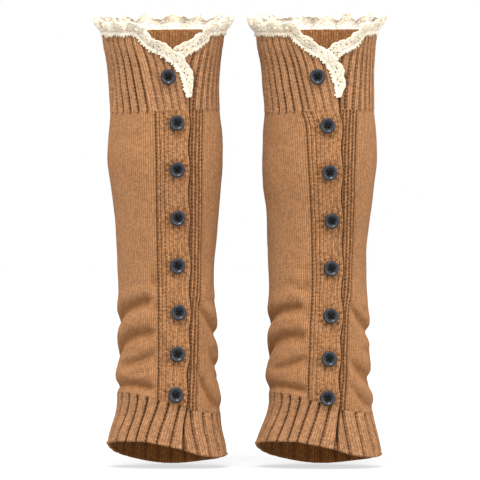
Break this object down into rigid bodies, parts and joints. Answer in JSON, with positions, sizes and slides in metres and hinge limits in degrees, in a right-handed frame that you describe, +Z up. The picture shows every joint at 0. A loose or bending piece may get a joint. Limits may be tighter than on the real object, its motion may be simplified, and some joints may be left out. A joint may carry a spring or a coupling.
{
  "type": "pair of knitted boot cuffs",
  "caption": "Long knitted boot cuffs worn over the calf, with ribbed top and hem, a buttoned front placket and a crochet lace edge round the V-cut top.",
  "frame": {"origin": "midway between the two cuffs' axes, at the lower edge of the top bands, which is where the calves hold the cuffs up", "axes": "+Z up the legs, -Y towards the buttoned fronts, +X to the right as seen from the front"},
  "size_m": [0.2791, 0.1213, 0.4346],
  "materials": {
    "stockinette": "camel plain knit, matte, soft",
    "rib": "camel wide rib knit, matte, soft",
    "placket_knit": "camel close rib knit, matte, soft",
    "lace": "cream cotton crochet lace, matte",
    "button": "charcoal, satin gloss"
  },
  "bodies": {
    "root": {"L_body": "stockinette", "L_top_band": "rib", "L_hem_band": "rib", "L_placket": "placket_knit", "L_under_placket": "placket_knit", "L_lace": "lace", "L_button_1": "button", "L_button_2": "button", "L_button_3": "button", "L_button_4": "button", "L_button_5": "button", "L_button_6": "button", "L_button_7": "button", "L_button_8": "button", "R_body": "stockinette", "R_top_band": "rib", "R_hem_band": "rib", "R_placket": "placket_knit", "R_under_placket": "placket_knit", "R_lace": "lace", "R_button_1": "button", "R_button_2": "button", "R_button_3": "button", "R_button_4": "button", "R_button_5": "button", "R_button_6": "button", "R_button_7": "button", "R_button_8": "button"}
  },
  "joints": []
}
